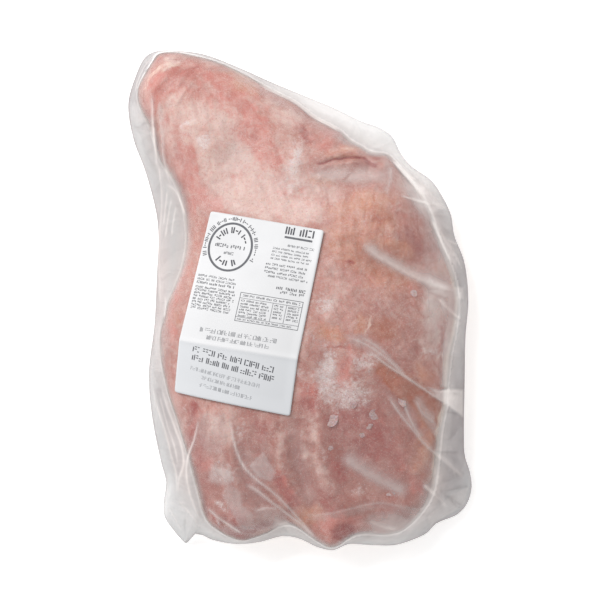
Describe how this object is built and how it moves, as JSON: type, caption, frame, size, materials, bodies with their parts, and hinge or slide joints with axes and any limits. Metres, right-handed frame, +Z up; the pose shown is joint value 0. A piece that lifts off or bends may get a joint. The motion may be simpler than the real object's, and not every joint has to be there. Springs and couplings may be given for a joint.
{
  "type": "bagged frozen bone-in pork shoulder",
  "caption": "Frozen skin-on pork shoulder with its shank, sealed in a clear film bag, flesh side up, with a plain paper label stuck on the film.",
  "frame": {"origin": "the middle of the bag's outline seen from above, on the surface that the bag lies on", "axes": "+Y along the shoulder towards the shank, +X towards the elbow side, +Z up out of the flesh side"},
  "size_m": [0.3088, 0.4469, 0.1049],
  "materials": {
    "bag_film": "satin",
    "frozen_flesh": "satin",
    "frost_ice": "satin",
    "cut_bone": "matte",
    "label_paper": "satin",
    "label_ink": "matte"
  },
  "bodies": {
    "root": {"filled_bag": "bag_film", "label": "label_paper"}
  },
  "joints": []
}
